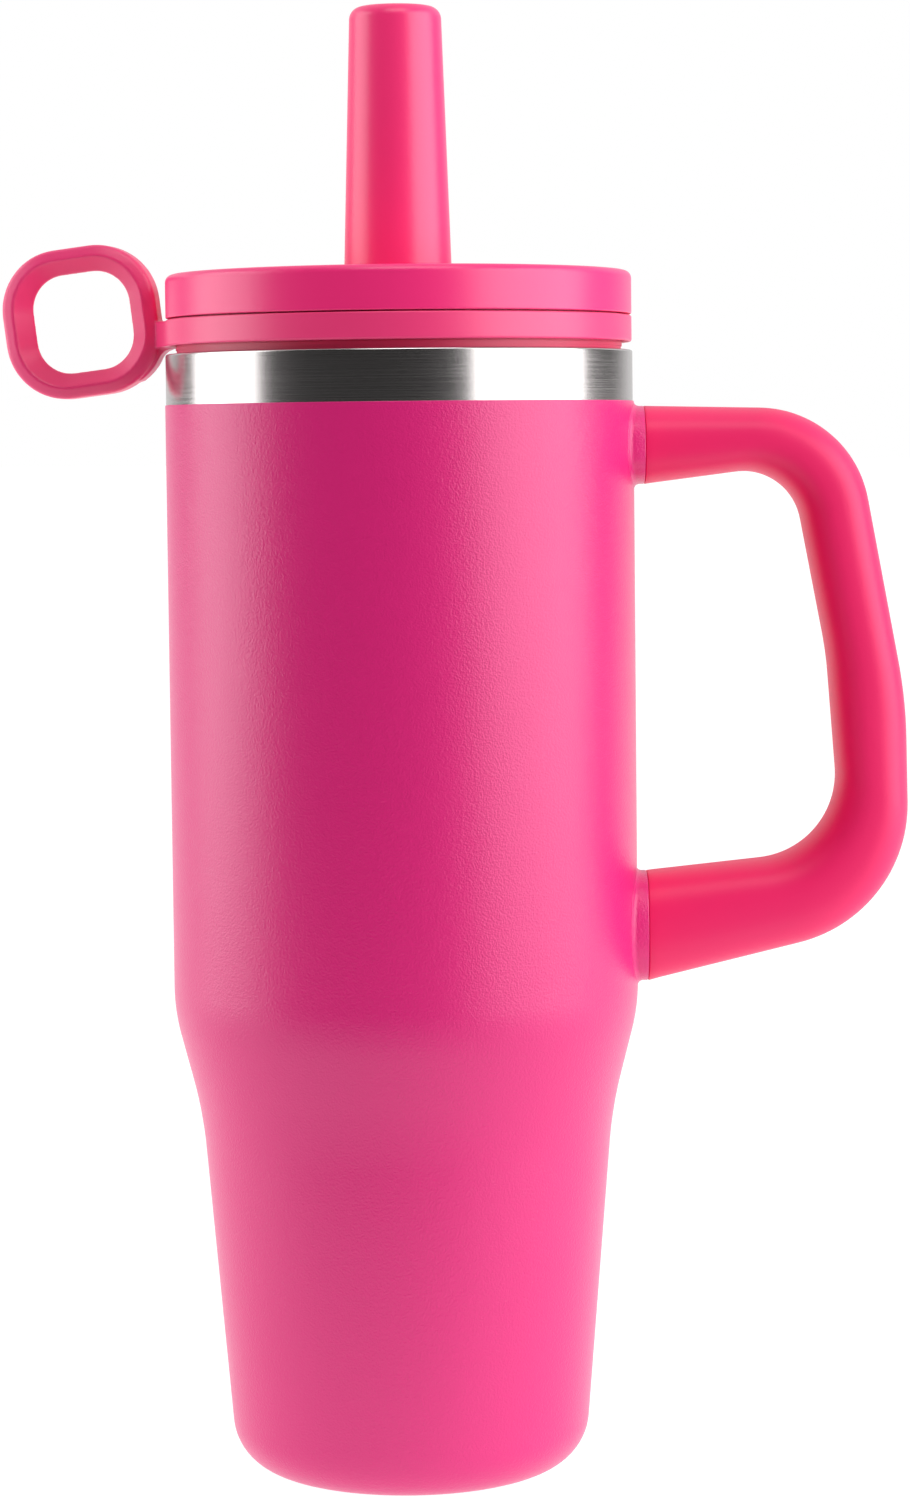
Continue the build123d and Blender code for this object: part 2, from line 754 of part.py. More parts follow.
nodes = {
    "outer_shell": outer_shell.part,
    "powder_coat": powder_coat.part,
    "inner_vessel": inner_vessel.part,
    "base_plate": base_plate.part,
    "vacuum_seal": vacuum_seal.part,
    "getter": getter.part,
    "base_pad": base_pad.part,
    "upper_bracket": upper_bracket.part,
    "lower_bracket": lower_bracket.part,
    "handle_core": handle_core.part,
    "handle_grip": handle_grip.part,
    "upper_screw": upper_screw.part,
    "lower_screw": lower_screw.part,
    "upper_screw_plug": upper_screw_plug.part,
    "lower_screw_plug": lower_screw_plug.part,
    "lid_cover": lid_cover.part,
    "lid_plug": lid_plug.part,
    "lid_seal": lid_seal.part,
    "straw_grommet": straw_grommet.part,
    "straw": straw.part,
    "straw_tip": straw_tip.part,
    "vent_valve": vent_valve.part,
    "carry_strap": carry_strap.part,
    "straw_cap": straw_cap.part,
}
for name, piece in nodes.items():
    piece.label = name
    export_step(piece, f"parts/{name}.step")
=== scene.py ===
"""Insulated tumbler with lid: the finish of every visible piece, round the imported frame.

Sizes are in millimetres until a mesh is made, and in metres from then on. The cup's axis is the
Z axis, the handle is on the +X side and the carry loop on the -X side.
"""

import math

import bmesh
import bpy
from mathutils import Matrix, Vector


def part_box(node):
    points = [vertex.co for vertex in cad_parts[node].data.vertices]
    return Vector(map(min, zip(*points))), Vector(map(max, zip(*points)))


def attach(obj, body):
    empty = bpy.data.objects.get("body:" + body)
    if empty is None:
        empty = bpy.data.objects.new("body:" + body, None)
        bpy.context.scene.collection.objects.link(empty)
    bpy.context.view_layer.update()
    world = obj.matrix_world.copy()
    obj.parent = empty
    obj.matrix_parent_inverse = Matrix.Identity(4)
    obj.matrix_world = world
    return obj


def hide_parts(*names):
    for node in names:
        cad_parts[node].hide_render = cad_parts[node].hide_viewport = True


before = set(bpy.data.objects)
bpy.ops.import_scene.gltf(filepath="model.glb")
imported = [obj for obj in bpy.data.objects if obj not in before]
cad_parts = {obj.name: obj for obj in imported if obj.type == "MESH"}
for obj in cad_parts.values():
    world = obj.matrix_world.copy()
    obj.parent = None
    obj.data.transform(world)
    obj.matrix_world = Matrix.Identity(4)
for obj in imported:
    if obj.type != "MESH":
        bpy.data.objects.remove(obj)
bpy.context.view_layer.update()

MM = 0.001
TURNS = 240  # steps round the cup's axis
WALL_TURNS = 360
LID_TURNS = 300
STRAW_TURNS = 96
SEAM = 1e-6  # corners nearer than this are sewn together, in metres

# ---------------------------------------------------------------- sizes, as the frame has them


def low(node):
    """Lowest corner of a node in millimetres."""
    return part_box(node)[0] / MM


def high(node):
    """Highest corner of a node in millimetres."""
    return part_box(node)[1] / MM


lip_height = high("outer_shell").z
body_radius = high("powder_coat").x
coat_top = high("powder_coat").z
shell_bottom = low("outer_shell").z
bracket_face = low("handle_grip").x

MOUTH_RADIUS = 46.9
FOOT_RADIUS = 37.1  # where the foot's side would meet the resting surface
TAPER_TOP = (43.6, 77.2)
SHOULDER_HEIGHT = 98.9  # where the straight wall begins
FOOT_ROUND = 11.5
TAPER_ROUND = 90.0
SHOULDER_ROUND = 40.0
COAT = 0.2
SHELL_WALL = 0.6
VESSEL_WALL = 0.5
VACUUM_GAP = 2.5
BASE_OPENING = 27.0
MOUTH_DEPTH = 17.0
MOUTH_STEP = 3.0
SIDE_STOP = 4.0  # the vessel's side ends this far below the lid's seat
SEAT_ROUND = 1.5
LIP_EASE = 0.1  # shell's inner edge below the lip
LIP_TURN = 1.2  # vessel's outer side stops this far below the lip to turn towards the shell
LIP_JOINT = 0.8  # and meets it this far below
COAT_EDGE_RUN = 2.0  # straight stretch drawn with the coating's soft edge
LIP_EDGE_RUN = 3.0  # and with the shell's rolled one

# ---------------------------------------------------------------- outlines and meshes


def rounded(corners, rounds, closed=False, steps=8, shoulder=0.12):
    """Corners joined by straight runs, with an arc of the given radius at each one.

    Open outlines keep their two ends. Each arc has a point just before and after it, which
    keeps the shading of the straight runs flat.
    """
    points = [Vector(corner) for corner in corners]
    count = len(points)
    inner = range(count) if closed else range(1, count - 1)
    line = [] if closed else [points[0]]
    for place, radius in zip(inner, rounds):
        corner = points[place]
        back = points[place - 1] - corner
        ahead = points[(place + 1) % count] - corner
        if radius <= 0:
            line.append(corner)
            continue
        half = back.angle(ahead) / 2
        reach = radius / math.tan(half)
        start = corner + back.normalized() * reach
        end = corner + ahead.normalized() * reach
        centre = corner + (back.normalized() + ahead.normalized()).normalized() * radius / math.sin(half)
        swing = start - centre
        turn = math.pi - 2 * half
        side = 1 if back.x * ahead.y - back.y * ahead.x < 0 else -1
        line.append(start + back.normalized() * min(shoulder, reach * 0.2))
        for step in range(steps + 1):
            angle = side * turn * step / steps
            spun = Vector((
                swing.x * math.cos(angle) - swing.y * math.sin(angle),
                swing.x * math.sin(angle) + swing.y * math.cos(angle),
            ))
            line.append(centre + spun)
        line.append(end + ahead.normalized() * min(shoulder, reach * 0.2))
    if not closed:
        line.append(points[-1])
    return line


def faced_out(piece):
    """The same piece with doubled corners joined, its faces turned outwards and smooth shading."""
    mesh = piece.data
    shape = bmesh.new()
    shape.from_mesh(mesh)
    bmesh.ops.remove_doubles(shape, verts=shape.verts, dist=1e-7)
    bmesh.ops.recalc_face_normals(shape, faces=shape.faces)
    shape.to_mesh(mesh)
    shape.free()
    mesh.polygons.foreach_set("use_smooth", [True] * len(mesh.polygons))
    return piece


def bare_piece(name, points, edges, faces):
    """Mesh object at the origin, from corners in millimetres."""
    mesh = bpy.data.meshes.new(name)
    mesh.from_pydata([Vector(point) * MM for point in points], edges, faces)
    piece = bpy.data.objects.new(name, mesh)
    bpy.context.scene.collection.objects.link(piece)
    return piece


def new_piece(name, points, faces):
    """Closed mesh object from corners in millimetres, with its faces turned outwards."""
    return faced_out(bare_piece(name, points, [], faces))


def settled(piece):
    """The piece's mesh as its modifiers leave it, as a plain mesh on the same object."""
    graph = bpy.context.evaluated_depsgraph_get()
    mesh = bpy.data.meshes.new_from_object(piece.evaluated_get(graph))
    piece.modifiers.clear()
    piece.data = mesh
    return piece


def fill(tree, node, inputs):
    """Links each input that is given a socket, and sets each that is given a value."""
    for name, value in dict(inputs).items():
        if isinstance(value, bpy.types.NodeSocket):
            tree.links.new(value, node.inputs[name])
        else:
            node.inputs[name].default_value = value


def node_adder(tree):
    """Way to add a node to a tree, with its inputs filled and its settings set."""

    def add(kind, inputs=(), **settings):
        node = tree.nodes.new(kind)
        for name, value in settings.items():
            setattr(node, name, value)
        fill(tree, node, inputs)
        return node

    return add


def maths(add, operation, *terms):
    """Result of one sum on sockets and numbers."""
    return add("ShaderNodeMath", enumerate(terms), operation=operation).outputs[0]


def geometry_tree(name, inputs):
    """Geometry node tree with named inputs, the way to add its nodes, and its inputs' sockets."""
    tree = bpy.data.node_groups.new(name, "GeometryNodeTree")
    for label, kind in inputs.items():
        tree.interface.new_socket(label, in_out="INPUT", socket_type="NodeSocket" + kind)
    tree.interface.new_socket("Geometry", in_out="OUTPUT", socket_type="NodeSocketGeometry")
    return tree, node_adder(tree), tree.nodes.new("NodeGroupInput").outputs


def run_tree(piece, tree, values):
    """Puts a node tree on a piece, sets its inputs by their identifiers, and settles the mesh."""
    modifier = piece.modifiers.new(tree.name, "NODES")
    modifier.node_group = tree
    for socket in tree.interface.items_tree:
        if socket.in_out == "INPUT" and socket.name in values:
            modifier[socket.identifier] = values[socket.name]
    return settled(piece)


def close_tree(tree, add, geometry, material):
    """Ends a tree: instances made real, then the material, then the result."""
    real = add("GeometryNodeRealizeInstances", {"Geometry": geometry})
    dressed = add("GeometryNodeSetMaterial", {"Geometry": real.outputs[0], "Material": material})
    add("NodeGroupOutput", {"Geometry": dressed.outputs[0]})
    return tree


def make_turning_tree():
    """Tree that turns an outline in the x-z plane about the upright axis into a closed skin."""
    inputs = {"Outline": "Geometry", "Turns": "Int", "Seam": "Float", "Material": "Material"}
    tree, add, given = geometry_tree("turned_body", inputs)
    rows = add("GeometryNodeAttributeDomainSize", {0: given["Outline"]}).outputs["Point Count"]
    columns = maths(add, "ADD", given["Turns"], 1.0)
    grid = add("GeometryNodeMeshGrid", {"Vertices X": columns, "Vertices Y": rows})
    index = add("GeometryNodeInputIndex").outputs[0]
    row = maths(add, "MODULO", index, rows)
    column = maths(add, "FLOOR", maths(add, "DIVIDE", maths(add, "ADD", index, 0.5), rows))
    angle = maths(add, "MULTIPLY", maths(add, "DIVIDE", column, given["Turns"]), 2 * math.pi)
    place = add("GeometryNodeInputPosition").outputs[0]
    sample = add(
        "GeometryNodeSampleIndex",
        {"Geometry": given["Outline"], "Value": place, "Index": row},
        data_type="FLOAT_VECTOR",
    )
    point = add("ShaderNodeSeparateXYZ", {0: sample.outputs[0]}).outputs
    across = maths(add, "MULTIPLY", point["X"], maths(add, "COSINE", angle))
    along = maths(add, "MULTIPLY", point["X"], maths(add, "SINE", angle))
    spot = add("ShaderNodeCombineXYZ", {"X": across, "Y": along, "Z": point["Z"]}).outputs[0]
    skin = add("GeometryNodeSetPosition", {"Geometry": grid.outputs[0], "Position": spot})
    sewn = add("GeometryNodeMergeByDistance", {"Geometry": skin.outputs[0], "Distance": given["Seam"]})
    return close_tree(tree, add, sewn.outputs[0], given["Material"])


turning_tree = make_turning_tree()


def turned(name, outline, material, turns=TURNS):
    """Solid of revolution about the cup's axis, from a closed outline of (radius, height)."""
    points = [(radius, 0.0, height) for radius, height in outline]
    points.append(points[0])
    edges = [(place, place + 1) for place in range(len(points) - 1)]
    piece = bare_piece(name, points, edges, [])
    run_tree(piece, turning_tree, {"Turns": turns, "Seam": SEAM, "Material": material})
    return faced_out(piece)


def skin_faces(rows, size, closed=False):
    """Faces over a row of closed sections, each with the same number of points."""
    faces = []
    for row in range(rows if closed else rows - 1):
        here, there = row * size, ((row + 1) % rows) * size
        for step in range(size):
            ahead = (step + 1) % size
            faces.append([here + step, here + ahead, there + ahead, there + step])
    return faces


def lofted(name, sections):
    """Skin over a row of closed sections with equal numbers of points, capped at both ends."""
    size = len(sections[0])
    points = [point for section in sections for point in section]
    faces = skin_faces(len(sections), size)
    faces.append(list(range(size)))
    faces.append(list(range(len(points) - size, len(points))))
    return new_piece(name, points, faces)


def finish_piece(piece, body, material, slot, *nodes):
    """Sets a piece on its body with its material, in place of its CAD nodes."""
    piece.data.materials.clear()
    piece.data.materials.append(material)
    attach(piece, body)
    if nodes:
        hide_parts(*nodes)
    return piece


def crossing(first, second):
    """Point where two lines cross, each given by two points."""
    (ax, ay), (bx, by) = first
    (cx, cy), (dx, dy) = second
    turn = (bx - ax) * (dy - cy) - (by - ay) * (dx - cx)
    along = ((cx - ax) * (dy - cy) - (cy - ay) * (dx - cx)) / turn
    return (ax + along * (bx - ax), ay + along * (by - ay))


def cup_side(inset, bottom, top, start_radius):
    """Side of the cup a distance inside the coating's face, from its floor up to a height."""
    corners = [(FOOT_RADIUS, 0.0), TAPER_TOP, (body_radius, SHOULDER_HEIGHT), (body_radius, lip_height)]
    shifted = []
    for start, end in zip(corners, corners[1:]):
        run = math.dist(start, end)
        normal = ((end[1] - start[1]) / run, (start[0] - end[0]) / run)
        shifted.append([(r - inset * normal[0], z - inset * normal[1]) for r, z in (start, end)])
    points = [(start_radius, bottom), crossing(shifted[0], [(0.0, bottom), (1.0, bottom)])]
    points += [crossing(first, second) for first, second in zip(shifted, shifted[1:])]
    points.append((body_radius - inset, top))
    return rounded(points, [FOOT_ROUND - inset, TAPER_ROUND + inset, SHOULDER_ROUND - inset], steps=16)


# ---------------------------------------------------------------- materials

WHITE = (1, 1, 1, 1)
MOULD_GRAIN_DEPTH = 0.00002
PEEL_DEPTH = 0.00007
BRUSH_RUN = 14.0  # scratches to a metre along their own run
BRUSH_SHADE = 0.82  # how bright the deeper scratches are


def new_material(name):
    """Node material with its tree, its surface shader and a way to add nodes."""
    material = bpy.data.materials.new(name)
    material.use_nodes = True
    tree = material.node_tree
    return material, tree, tree.nodes["Principled BSDF"], node_adder(tree)


def noise(add, place, scale, detail, roughness):
    """Strength of a cloudy pattern over the piece."""
    inputs = {"Vector": place, "Scale": scale, "Detail": detail, "Roughness": roughness}
    return add("ShaderNodeTexNoise", inputs).outputs["Fac"]


def two_tones(add, factor, deep, colour):
    """Colour between a deep tone and the full one, by a factor."""
    inputs = {0: factor, 6: (*deep, 1), 7: (*colour, 1)}
    return add("ShaderNodeMix", inputs, data_type="RGBA").outputs[2]


def uneven_gloss(add, factor, least, most):
    """Roughness between two values, by a factor."""
    inputs = {"Value": factor, "To Min": least, "To Max": most}
    return add("ShaderNodeMapRange", inputs).outputs["Result"]


def relief(add, height, depth):
    """Surface direction over a fine relief, whose depth is in metres."""
    inputs = {"Strength": 1.0, "Distance": depth, "Height": height}
    return add("ShaderNodeBump", inputs).outputs["Normal"]


def moulded(name, colour, deep, roughness, grain=0.0006, gleam=0.65, soft=0.0):
    """Moulded plastic or elastomer: slight colour drift, fine mould grain and uneven gloss."""
    material, tree, shader, add = new_material(name)
    place = add("ShaderNodeTexCoord").outputs["Object"]
    drift = noise(add, place, scale=22.0, detail=3.0, roughness=0.5)
    fine = noise(add, place, scale=1.0 / grain, detail=4.0, roughness=0.6)
    fill(tree, shader, {
        "Base Color": two_tones(add, drift, deep, colour),
        "Roughness": uneven_gloss(add, fine, roughness - 0.05, roughness + 0.05),
        "Normal": relief(add, fine, MOULD_GRAIN_DEPTH),
        "Specular IOR Level": gleam,
    })
    if soft:
        fill(tree, shader, {
            "Subsurface Weight": soft,
            "Subsurface Radius": (1.0, 0.25, 0.3),
            "Subsurface Scale": 0.0015,
        })
    return material


def powder_coated(name, colour, deep):
    """Powder coating: a fine orange-peel skin with small glints."""
    material, tree, shader, add = new_material(name)
    place = add("ShaderNodeTexCoord").outputs["Object"]
    drift = noise(add, place, scale=9.0, detail=4.0, roughness=0.55)
    peel = noise(add, place, scale=1900.0, detail=2.0, roughness=0.5)
    grit = add("ShaderNodeTexVoronoi", {"Vector": place, "Scale": 2600.0}).outputs["Distance"]
    fill(tree, shader, {
        "Base Color": two_tones(add, drift, deep, colour),
        "Roughness": uneven_gloss(add, peel, 0.27, 0.37),
        "Normal": relief(add, maths(add, "MULTIPLY_ADD", grit, 0.5, peel), PEEL_DEPTH),
        "Specular IOR Level": 0.6,
    })
    return material


def brushed(name, colour, roughness, across=3500.0, depth=0.000012):
    """Stainless steel brushed round the cup's axis, so the scratches lie level."""
    material, tree, shader, add = new_material(name)
    place = add("ShaderNodeTexCoord").outputs["Object"]
    stretch = add("ShaderNodeMapping", {"Vector": place, "Scale": (BRUSH_RUN, BRUSH_RUN, across)})
    lines = noise(add, stretch.outputs["Vector"], scale=1.0, detail=6.0, roughness=0.65)
    tangent = add("ShaderNodeTangent", direction_type="RADIAL", axis="Z")
    fill(tree, shader, {
        "Base Color": two_tones(add, lines, [channel * BRUSH_SHADE for channel in colour], colour),
        "Metallic": 1.0,
        "Roughness": uneven_gloss(add, lines, roughness - 0.05, roughness + 0.08),
        "Normal": relief(add, lines, depth),
        "Tangent": tangent.outputs["Tangent"],
        "Anisotropic": 0.6,
    })
    return material


coating = powder_coated("powder_coating", (0.76, 0.0155, 0.198), (0.72, 0.0145, 0.185))
steel = brushed("brushed_steel", (0.62, 0.585, 0.58), roughness=0.17, across=5200.0, depth=0.000006)
inner_steel = brushed("polished_steel", (0.62, 0.61, 0.60), roughness=0.22, across=1500.0)
plate_steel = brushed("pressed_steel", (0.5, 0.49, 0.48), roughness=0.35)
lid_plastic = moulded("lid_plastic", (0.97, 0.026, 0.21), (0.94, 0.024, 0.197), 0.33)
lid_inner_plastic = moulded("lid_lower_plastic", (0.80, 0.028, 0.13), (0.75, 0.025, 0.12), 0.45)
strap_rubber = moulded("strap_elastomer", (0.93, 0.046, 0.208), (0.90, 0.042, 0.195), 0.38)
cap_plastic = moulded("cap_plastic", (0.99, 0.036, 0.205), (0.97, 0.032, 0.192), 0.34)
grip_rubber = moulded("grip_elastomer", (0.91, 0.012, 0.142), (0.87, 0.011, 0.132), 0.47, gleam=0.5)
core_plastic = moulded("handle_core_nylon", (0.42, 0.02, 0.07), (0.36, 0.018, 0.06), 0.5)
seal_silicone = moulded("pink_silicone", (0.85, 0.28, 0.38), (0.80, 0.25, 0.34), 0.38, soft=0.2)
pad_silicone = moulded("pad_silicone", (0.62, 0.03, 0.14), (0.56, 0.026, 0.125), 0.55)
straw_plastic = moulded("straw_plastic", (0.90, 0.16, 0.33), (0.86, 0.14, 0.30), 0.25, soft=0.1)
tip_silicone = moulded("tip_silicone", (0.90, 0.05, 0.18), (0.86, 0.045, 0.165), 0.45, soft=0.1)
dark_getter = moulded("getter_pill", (0.09, 0.09, 0.1), (0.06, 0.06, 0.065), 0.8, grain=0.0004)
solder = moulded("solder_bead", (0.35, 0.35, 0.36), (0.3, 0.3, 0.31), 0.35)

# ---------------------------------------------------------------- cup


def make_coating():
    """Coating from the base's opening up to its masked edge, with a soft edge at the top."""
    outside = cup_side(0.0, shell_bottom - COAT, coat_top, BASE_OPENING)
    outside[-1:] = rounded(
        [(body_radius, coat_top - COAT_EDGE_RUN), (body_radius, coat_top), (body_radius - COAT, coat_top)],
        [COAT * 0.7],
        steps=4,
        shoulder=0.03,
    )[1:]
    inside = cup_side(COAT, shell_bottom, coat_top, BASE_OPENING)
    piece = turned("cup_coating", outside + inside[::-1][1:], coating, turns=WALL_TURNS)
    return finish_piece(piece, "cup", coating, "coating", "powder_coat")


def make_shell():
    """Outer steel wall, bare below the lip, with its rolled edge."""
    outer = body_radius - COAT
    outside = cup_side(COAT, shell_bottom, lip_height, BASE_OPENING)
    outside[-1:] = rounded(
        [(outer, lip_height - LIP_EDGE_RUN), (outer, lip_height), (outer - SHELL_WALL, lip_height)],
        [SHELL_WALL * 0.8],
        shoulder=0.05,
    )[1:]
    inside = cup_side(COAT + SHELL_WALL, shell_bottom + SHELL_WALL, lip_height - LIP_EASE, BASE_OPENING)
    piece = turned("steel_shell", outside + inside[::-1], steel, turns=WALL_TURNS)
    return finish_piece(piece, "cup", steel, "shell_steel", "outer_shell")


def make_vessel():
    """Inner steel wall: floor, tapered side, seat of the lid and the mouth that joins the lip."""
    inset = COAT + SHELL_WALL + VACUUM_GAP
    floor = low("inner_vessel").z
    mouth_floor = lip_height - MOUTH_DEPTH
    bore = body_radius - inset - VESSEL_WALL
    joint = body_radius - COAT - SHELL_WALL
    seat = mouth_floor - MOUTH_STEP
    side_top = seat - SIDE_STOP
    inside = cup_side(inset + VESSEL_WALL, floor + VESSEL_WALL, side_top, 0.0)
    inside += rounded(
        [
            (bore, side_top + 1),
            (bore, seat),
            (MOUTH_RADIUS, mouth_floor),
            (MOUTH_RADIUS, lip_height),
            (joint, lip_height),
        ],
        [SEAT_ROUND, SEAT_ROUND, VESSEL_WALL * 1.6],
    )
    outside = cup_side(inset, floor, side_top, 0.0)
    outside += [
        (bore + VESSEL_WALL, seat),
        (MOUTH_RADIUS + VESSEL_WALL, mouth_floor),
        (MOUTH_RADIUS + VESSEL_WALL, lip_height - LIP_TURN),
        (joint, lip_height - LIP_JOINT),
    ]
    piece = turned("inner_vessel_wall", inside + outside[::-1], inner_steel)
    return finish_piece(piece, "cup", inner_steel, "vessel_steel", "inner_vessel")


PAD_GROOVE = 0.35  # depth of the pad's recess, which its studs fill
PAD_CENTRE = 5.5  # flat middle of the pad
GROOVE_SLOPE = 0.4
PAD_EDGE = 3.0
BEAD_ROOM = 3.4  # radius of the recess over the solder bead
BEAD_FLOOR = 1.3
STUD_RINGS = 3


def make_stud_tree():
    """Tree that sets rings of small round studs about the axis, all at one height."""
    inputs = {
        "Pad": "Geometry",
        "First Ring": "Float",
        "Ring Step": "Float",
        "Studs Per Ring": "Int",
        "Stud Radius": "Float",
        "Stud Rise": "Float",
        "Material": "Material",
    }
    tree, add, given = geometry_tree("ringed_studs", inputs)
    dome = add("GeometryNodeMeshUVSphere", {"Segments": 20, "Rings": 10, "Radius": given["Stud Radius"]})
    flatness = maths(add, "DIVIDE", given["Stud Rise"], given["Stud Radius"])
    flat = add("ShaderNodeCombineXYZ", {"X": 1.0, "Y": 1.0, "Z": flatness}).outputs[0]
    lift = add("ShaderNodeCombineXYZ", {"Z": given["Stud Rise"]}).outputs[0]
    placed = {"Geometry": dome.outputs["Mesh"], "Translation": lift, "Scale": flat}
    stud = add("GeometryNodeTransform", placed).outputs[0]
    joined = add("GeometryNodeJoinGeometry", {"Geometry": given["Pad"]})
    for ring in range(STUD_RINGS):
        reach = maths(add, "MULTIPLY_ADD", given["Ring Step"], ring, given["First Ring"])
        count = maths(add, "MULTIPLY", given["Studs Per Ring"], ring + 1.0)
        circle = add("GeometryNodeMeshCircle", {"Vertices": count, "Radius": reach}).outputs[0]
        spread = add("GeometryNodeInstanceOnPoints", {"Points": circle, "Instance": stud})
        tree.links.new(spread.outputs[0], joined.inputs[0])
    return close_tree(tree, add, joined.outputs[0], given["Material"])


def make_base_pad():
    """Pad under the base: a soft disc with a shallow ring-shaped recess full of round studs."""
    radius = high("base_pad").x
    top = high("base_pad").z
    outline = rounded(
        [
            (0, 0),
            (PAD_CENTRE, 0),
            (PAD_CENTRE + GROOVE_SLOPE, PAD_GROOVE),
            (radius - PAD_EDGE - GROOVE_SLOPE, PAD_GROOVE),
            (radius - PAD_EDGE, 0),
            (radius, 0),
            (radius, top),
            (BEAD_ROOM, top),
            (BEAD_ROOM, BEAD_FLOOR),
            (0, BEAD_FLOOR),
        ],
        [0.1, 0.1, 0.1, 0.1, 0.4, 0.2, 0.1, 0.1],
        steps=4,
        shoulder=0.03,
    )
    piece = turned("base_pad_disc", outline, pad_silicone, turns=160)
    run_tree(piece, make_stud_tree(), {
        "First Ring": 8.5 * MM,
        "Ring Step": 4.7 * MM,
        "Studs Per Ring": 12,
        "Stud Radius": 1.3 * MM,
        "Stud Rise": PAD_GROOVE * MM,
        "Material": pad_silicone,
    })
    return finish_piece(faced_out(piece), "cup", pad_silicone, "pad", "base_pad")


make_coating()
make_shell()
make_vessel()
make_base_pad()

# ---------------------------------------------------------------- handle

HANDLE_TOP = 225.5
HANDLE_BOTTOM = 104.1
HANDLE_OUTER = [(94.8, 224.4), (106.1, 163.1), (106.8, 117.4)]
HANDLE_OUTER_ROUNDS = [23.5, 100.0, 30.0]
HANDLE_UPPER_INSIDE = 209.1
HANDLE_LOWER_INSIDE = 127.2
HANDLE_INNER = [(82.1, 212.9), (89.6, 173.1), (92.7, 131.4)]
HANDLE_INNER_ROUNDS = [12.4, 80.0, 17.8]
SECTION_STEPS = 48
SECTION_POWER = 2.6  # 2 is an ellipse, and more is squarer
ARC_STEPS = 24
CORNER_SIZE = ARC_STEPS + 3  # points that an arc and the ends of its runs have
RUN_POINTS = (14, 10, 8, 14)  # points kept along each straight run
ARC_POINTS = (30, 12, 30)  # and round each corner
END_ROUND = 0.3
END_LEVELS = (0.0, 0.25, 0.6, 1.0)
COLLAR_FLARE = [(-1.2, 0.9), (0.0, 0.9), (0.12, 0.55), (0.3, 0.3), (0.6, 0.1), (1.0, 0.0)]  # rise, spread
COLLAR_EDGE = [(0.2, 0.0), (0.06, 0.06), (0.0, 0.22)]  # back from the face, inset


def section_shape(steps, power):
    """Points of a superellipse with half sizes of one."""
    points = []
    for step in range(steps):
        angle = 2 * math.pi * (step + 0.5) / steps
        cos, sin = math.cos(angle), math.sin(angle)
        points.append((
            math.copysign(abs(cos) ** (2 / power), cos),
            math.copysign(abs(sin) ** (2 / power), sin),
        ))
    return points


def resampled(line, count):
    """A number of points evenly spaced along a line."""
    reach = [0.0]
    for start, end in zip(line, line[1:]):
        reach.append(reach[-1] + (end - start).length)
    points = []
    place = 0
    for step in range(count):
        goal = reach[-1] * step / (count - 1)
        while place < len(line) - 2 and reach[place + 1] < goal:
            place += 1
        run = reach[place + 1] - reach[place]
        points.append(line[place].lerp(line[place + 1], (goal - reach[place]) / run if run else 0.0))
    return points


def handle_side(top, corners, rounds, bottom):
    """One side of the handle, from its upper bracket round to its lower one."""
    line = [(bracket_face, top), *corners, (bracket_face, bottom)]
    return rounded(line, rounds, steps=ARC_STEPS, shoulder=0.0)


def matched_sides():
    """Outer and inner side of the handle as pairs of points, corner by corner."""
    outer = handle_side(HANDLE_TOP, HANDLE_OUTER, HANDLE_OUTER_ROUNDS, HANDLE_BOTTOM)
    inner = handle_side(HANDLE_UPPER_INSIDE, HANDLE_INNER, HANDLE_INNER_ROUNDS, HANDLE_LOWER_INSIDE)
    spans = []
    for corner, (run_count, arc_count) in enumerate(zip(RUN_POINTS, ARC_POINTS)):
        first = 1 + corner * CORNER_SIZE
        spans += [(first - 1, first, run_count), (first, first + CORNER_SIZE - 1, arc_count)]
    spans.append((len(outer) - 2, len(outer) - 1, RUN_POINTS[-1]))
    pairs = []
    for start, end, count in spans:
        stretch = zip(resampled(outer[start:end + 1], count), resampled(inner[start:end + 1], count))
        pairs += list(stretch)[1 if pairs else 0:]
    return pairs


def eased_end(section):
    """Rows that round off the cover's end where it meets its bracket."""
    centre = sum((Vector(point) for point in section), Vector()) / len(section)
    rows = []
    for level in END_LEVELS:
        inset = END_ROUND * (1 - math.sqrt(1 - (1 - level) ** 2))
        row = []
        for point in section:
            away = Vector(point) - centre
            away.x = 0
            moved = Vector(point) - away.normalized() * inset
            moved.x = bracket_face + END_ROUND * level
            row.append(tuple(moved))
        rows.append(row)
    return rows


def make_handle():
    """Soft cover of the handle: a fat rounded section that follows both of its sides."""
    half_width = high("handle_grip").y
    shape = section_shape(SECTION_STEPS, SECTION_POWER)
    sections = []
    for outer, inner in matched_sides():
        middle, half = (outer + inner) / 2, (outer - inner) / 2
        sections.append([
            (middle.x + half.x * u, half_width * v, middle.y + half.y * u) for u, v in shape
        ])
    rows = eased_end(sections[0]) + sections[1:-1] + eased_end(sections[-1])[::-1]
    return finish_piece(lofted("handle_cover", rows), "cup", grip_rubber, "handle_grip", "handle_grip")


def make_collar(name, top, bottom, node):
    """Welded bracket under its coating: the arm's section, flared where it meets the cup."""
    half_width = high("handle_grip").y
    shape = section_shape(SECTION_STEPS, SECTION_POWER)
    middle, half = (top + bottom) / 2, (top - bottom) / 2
    sections = []
    for rise, flare in COLLAR_FLARE:
        ring = []
        for u, v in shape:
            side = (half_width + flare) * v
            foot = math.sqrt(body_radius ** 2 - side ** 2)
            ring.append((foot + rise, side, middle + (half + flare) * u))
        sections.append(ring)
    for back, inset in COLLAR_EDGE:
        sections.append([
            (bracket_face - back, (half_width - inset) * v, middle + (half - inset) * u) for u, v in shape
        ])
    return finish_piece(lofted(name, sections), "cup", coating, "bracket", node)


